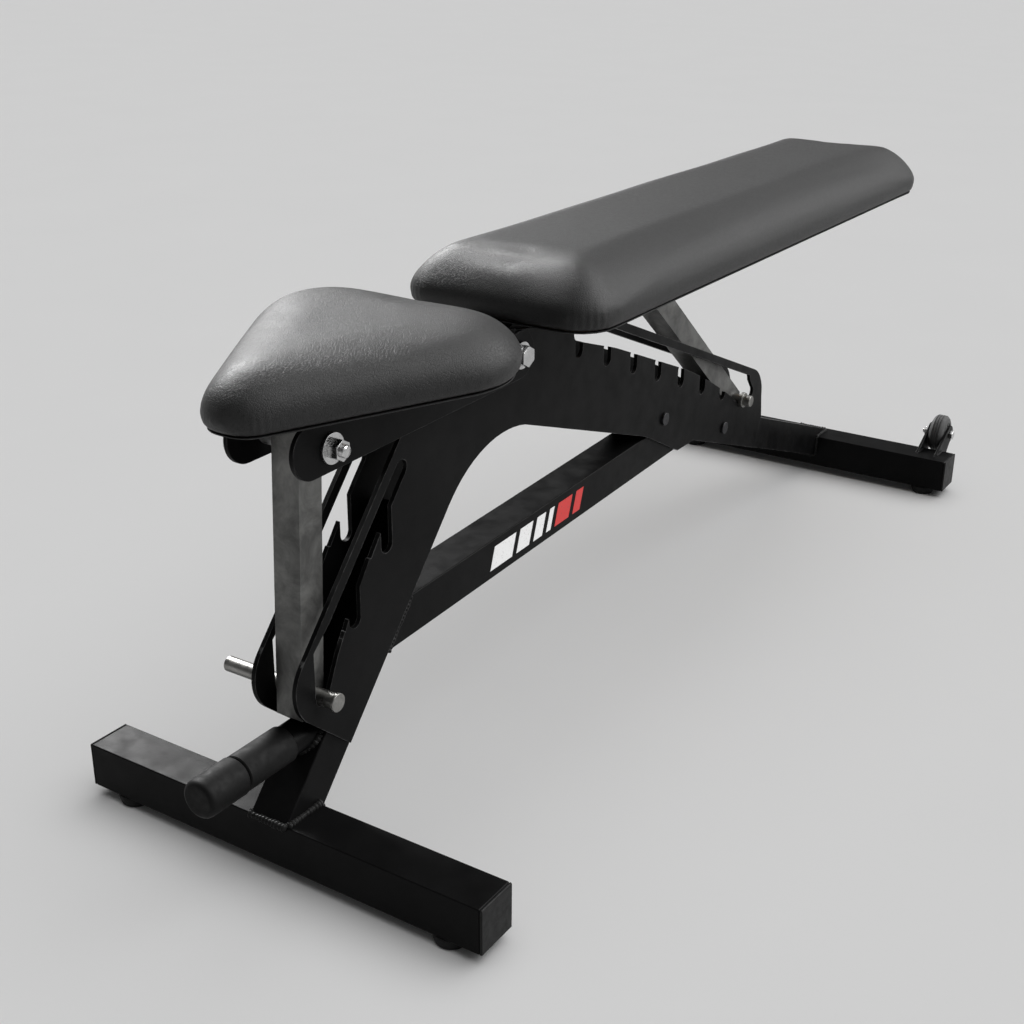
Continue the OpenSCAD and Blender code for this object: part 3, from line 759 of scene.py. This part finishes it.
def add_welds():
    half = 23.4
    paths = []
    for side in (-1, 1):
        x = side * half
        paths.append([at(x, 1, 62.3), at(x, 50, 62.3), at(x, 50.4, 50)])
    paths.append([at(-half, -0.8, 61.5), at(half, -0.8, 61.5)])
    paths.append([at(-half, 50.6, 49), at(half, 50.6, 49)])
    welds("weld_front_leg", paths, "frame", 0.0042)
    paths = []
    for side in (-1, 1):
        x = side * half
        paths.append([at(x, 1328.6, 30), at(x, 1328.6, 62.4), at(x, 1369, 62.4)])
    paths.append([at(-half, 1328.4, 29.5), at(half, 1328.4, 29.5)])
    paths.append([at(-half, 1370.5, 62.3), at(half, 1370.5, 62.3)])
    welds("weld_rear_leg", paths, "frame", 0.0038)
    low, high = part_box("handle_bar")
    radius = (high.x - low.x) / 2 / MM
    middle = (low.z + high.z) / 2 / MM
    loop = []
    steps = 48
    for k in range(steps + 1):
        a = TAU * k / steps
        z = middle + radius * math.sin(a)
        loop.append(at(radius * math.cos(a), leg_face(z, False) - 1.0, z))
    welds("weld_handle", [loop], "frame", 0.0042)
    corners = []
    for z_top in (False, True):
        y = 130.0
        for _ in range(20):
            y = leg_face(spine_z(y, z_top), True)
        corners.append((y + 0.3, spine_z(y, z_top)))
    (y0, z0), (y1, z1) = corners
    paths = [[at(s * half, y0, z0), at(s * half, y1, z1)] for s in (-1, 1)]
    paths.append([at(-half, y0, z0 - 0.3), at(half, y0, z0 - 0.3)])
    paths.append([at(-half, y1, z1 + 0.3), at(half, y1, z1 + 0.3)])
    welds("weld_spine_front", paths, "frame", 0.0030)
    spine_slope, leg_slope = math.tan(SPINE_ANGLE), math.tan(REAR_ANGLE)
    y = REAR_LEG_FROM[1] - SPINE_FROM[1] + SPINE_FROM[0] * spine_slope - REAR_LEG_FROM[0] * leg_slope
    y /= spine_slope - leg_slope
    z = spine_z(y, False) - 0.2
    welds("weld_spine_rear", [[at(-half, y, z), at(half, y, z)]], "frame", 0.0030)
    paths = []
    for name in ("wheel_bracket_left", "wheel_bracket_right"):
        low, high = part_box(name)
        y = FOOT_LOW.y + 1.379
        for x in (low.x, low.x + 0.004, high.x - 0.004, high.x):
            corner = Vector((x, y + 0.0004, 0.0622))
            paths.append([Vector((x, y + 0.0004, 0.030)), corner, Vector((x, y - 0.028, 0.0625))])
    welds("weld_wheel_brackets", paths, "frame", 0.0017)
    paths = []
    for side in (-1, 1):
        for y in (50, 207):
            for x in (35.7, 41.3):
                paths.append([at(side * x, y, 466 + y * 0.0125), at(side * x, y + 40, 466.5 + y * 0.0125)])
    welds("weld_seat_straps", paths, "seat", 0.0016)


def add_handle():
    low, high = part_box("handle_bar")
    centre = (low.x + high.x) / 2, (low.z + high.z) / 2
    origin = Vector((centre[0], 0, centre[1]))
    grip_low, grip_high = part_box("handle_grip")
    r = (grip_high.x - grip_low.x) / 2
    y0, y1 = grip_low.y, grip_high.y
    inner = (high.x - low.x) / 2 - 0.0004
    profile = [(y0, inner), (y0, r - 0.0012), (y0 + 0.0012, r)]
    profile += [(y1 - 0.0016, r), (y1, r - 0.0014), (y1, inner)]
    mesh = ring_lathe("handle_grip_sleeve", profile, origin, (0, 1, 0), 72)
    piece("handle_grip_sleeve", mesh, GRIP, "frame", ["handle_grip"])
    cap_low, cap_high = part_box("handle_end_cap")
    r = (cap_high.x - cap_low.x) / 2
    y0, y1 = cap_low.y, cap_high.y
    profile = [(y0 + 0.0008, 0.0), (y0 + 0.0006, r * 0.5), (y0 + 0.0002, r * 0.74), (y0 + 0.0006, r - 0.0036)]
    profile += [(y0 + 0.0018, r - 0.0018), (y0 + 0.0038, r - 0.0006), (y0 + 0.0066, r - 0.0001)]
    profile += [(y1 - 0.0014, r), (y1, r - 0.0012), (y1, 0.0)]
    profile = [(y, max(rad, 0.0002)) for y, rad in profile]
    mesh = lathe("handle_cap_turned", profile, origin, (0, 1, 0), 72)
    piece("handle_cap_turned", mesh, GRIP, "frame", ["handle_end_cap"])
    NODES["handle_bar"].data.materials.clear()
    NODES["handle_bar"].data.materials.append(BLACK)


def add_wheel(side):
    node = "wheel_" + side
    low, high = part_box(node)
    centre = Vector(JOINTS[node + "_hinge"]["pos_m"])
    middle = (low.x + high.x) / 2
    half = (high.x - low.x) / 2
    r = (high.z - low.z) / 2
    origin = (middle, centre.y, centre.z)
    shoulder = [(0.0, 0.0115), (0.0006, 0.0065), (0.0022, 0.0032), (0.0052, 0.0006)]
    rim = [(0.0012, 0.0125), (0.0016, 0.0160)]
    tyre = [(-half + inward, r - depth) for inward, depth in shoulder]
    for k in (-1, 0, 1):
        groove = k * half * 0.36
        tyre += [(groove - 0.0014, r), (groove - 0.0009, r - 0.0011)]
        tyre += [(groove + 0.0009, r - 0.0011), (groove + 0.0014, r)]
    tyre += [(half - inward, r - depth) for inward, depth in reversed(shoulder)]
    tyre += [(half - inward, r - depth) for inward, depth in rim]
    tyre += [(-half + inward, r - depth) for inward, depth in reversed(rim)]
    mesh = ring_lathe(node + "_tyre", tyre, origin, (1, 0, 0), 72)
    piece(node + "_tyre", mesh, TYRE, node, [node])
    bore = 0.0041
    face = [(0.0, bore), (0.0, 0.0085), (0.0025, 0.0090), (0.0028, r - 0.0170), (0.0014, r - 0.0158)]
    hub = [(-half + inward, radius) for inward, radius in face]
    hub += [(half - inward, radius) for inward, radius in reversed(face)]
    mesh = ring_lathe(node + "_hub", hub, origin, (1, 0, 0), 48)
    piece(node + "_hub", mesh, HUB, node)


def add_stripes():
    """Plain slanted bars printed on the spine's right-hand face."""
    _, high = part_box("spine_tube")
    x0, x1 = high.x - 0.0001, high.x + 0.00018
    slant, lower, upper = 9.0, 0.22, 0.80
    for name, material, spans in (
        ("stripe_white", WHITE_INK, ((352, 396), (405, 432), (441, 460), (469, 479))),
        ("stripe_red", RED_INK, ((488, 520), (529, 546))),
    ):
        verts, faces = [], []
        for y0, y1 in spans:
            base = len(verts)
            for x in (x0, x1):
                for y, share in ((y0, lower), (y1, lower), (y1 + slant, upper), (y0 + slant, upper)):
                    z = spine_z(y, False) + share * TUBE
                    p = at(0, y, z)
                    verts.append((x, p.y, p.z))
            for face in BOX_FACES:
                faces.append(tuple(base + i for i in face))
        piece(name, mesh_of(name, verts, faces), material, "frame")


# ---------------------------------------------------------------- stage

FLOOR_HALF = 40
WORLD_AS_LIGHT = 0.125
WORLD_AS_SEEN = 0.60


def soft_sun(name, toward, angle, energy, spare=None, only=None, blockers=()):
    """A wide distant light, from that direction. It can leave one object unlit, or light only one,
    and be shaded by the blockers alone."""
    data = bpy.data.lights.new(name, "SUN")
    data.energy = energy
    data.angle = math.radians(angle)
    lamp = bpy.data.objects.new(name, data)
    lamp.rotation_euler = (-Vector(toward)).to_track_quat("-Z", "Y").to_euler()
    bpy.context.scene.collection.objects.link(lamp)
    if spare or only:
        linked = bpy.data.collections.new(name + "_receivers")
        linked.objects.link(spare or only)
        linked.collection_objects[0].light_linking.link_state = "EXCLUDE" if spare else "INCLUDE"
        lamp.light_linking.receiver_collection = linked
    if blockers:
        shading = bpy.data.collections.new(name + "_blockers")
        for blocker in blockers:
            shading.objects.link(blocker)
        lamp.light_linking.blocker_collection = shading


def add_stage():
    size = FLOOR_HALF
    corners = [(-size, -size, 0), (size, -size, 0), (size, size, 0), (-size, size, 0)]
    mesh = bpy.data.meshes.new("floor")
    mesh.from_pydata(corners, [], [(0, 1, 2, 3)])
    floor = bpy.data.objects.new("floor", mesh)
    bpy.context.scene.collection.objects.link(floor)
    s = Shader("floor_paper", roughness=0.9, specular=0.1)
    s.colour(s.mix(s.noise(3, 2), (0.80, 0.80, 0.80), (0.82, 0.82, 0.82)))
    mesh.materials.append(s.material)
    world = bpy.data.worlds.new("studio")
    bpy.context.scene.world = world
    world.use_nodes = True
    sky = world.node_tree.nodes["Background"]
    sky.inputs["Color"].default_value = (1, 1, 1, 1)
    seen = world.node_tree.nodes.new("ShaderNodeLightPath").outputs["Is Camera Ray"]
    strength = world.node_tree.nodes.new("ShaderNodeMapRange")
    world.node_tree.links.new(seen, strength.inputs["Value"])
    strength.inputs["To Min"].default_value = WORLD_AS_LIGHT
    strength.inputs["To Max"].default_value = WORLD_AS_SEEN
    world.node_tree.links.new(strength.outputs[0], sky.inputs["Strength"])
    soft_sun("contact", (0.25, 0.40, 1), 60, 0.42)
    feet = [bpy.data.objects[node + "_finish"] for node in ("front_foot", "rear_foot", "rubber_feet")]
    soft_sun("floor_wash", (0.16, 0.26, 1), 84, 1.72, only=floor, blockers=feet)
    soft_sun("overhead", (0.12, 0.22, 1), 95, 0.95, spare=floor)
    soft_sun("key_back_left", (-0.74, 0.37, 0.56), 28, 5.1, spare=floor)
    soft_sun("fill_right", (0.62, 0.52, 0.60), 58, 3.6, spare=floor)
    bpy.context.scene.view_settings.view_transform = "Standard"


# ---------------------------------------------------------------- build

add_camera()
add_pads()
for node, material, slot, width in FRAME_WORK:
    finished(node, material, width)
add_threads()
add_welds()
add_handle()
add_wheel("left")
add_wheel("right")
add_stripes()
add_stage()
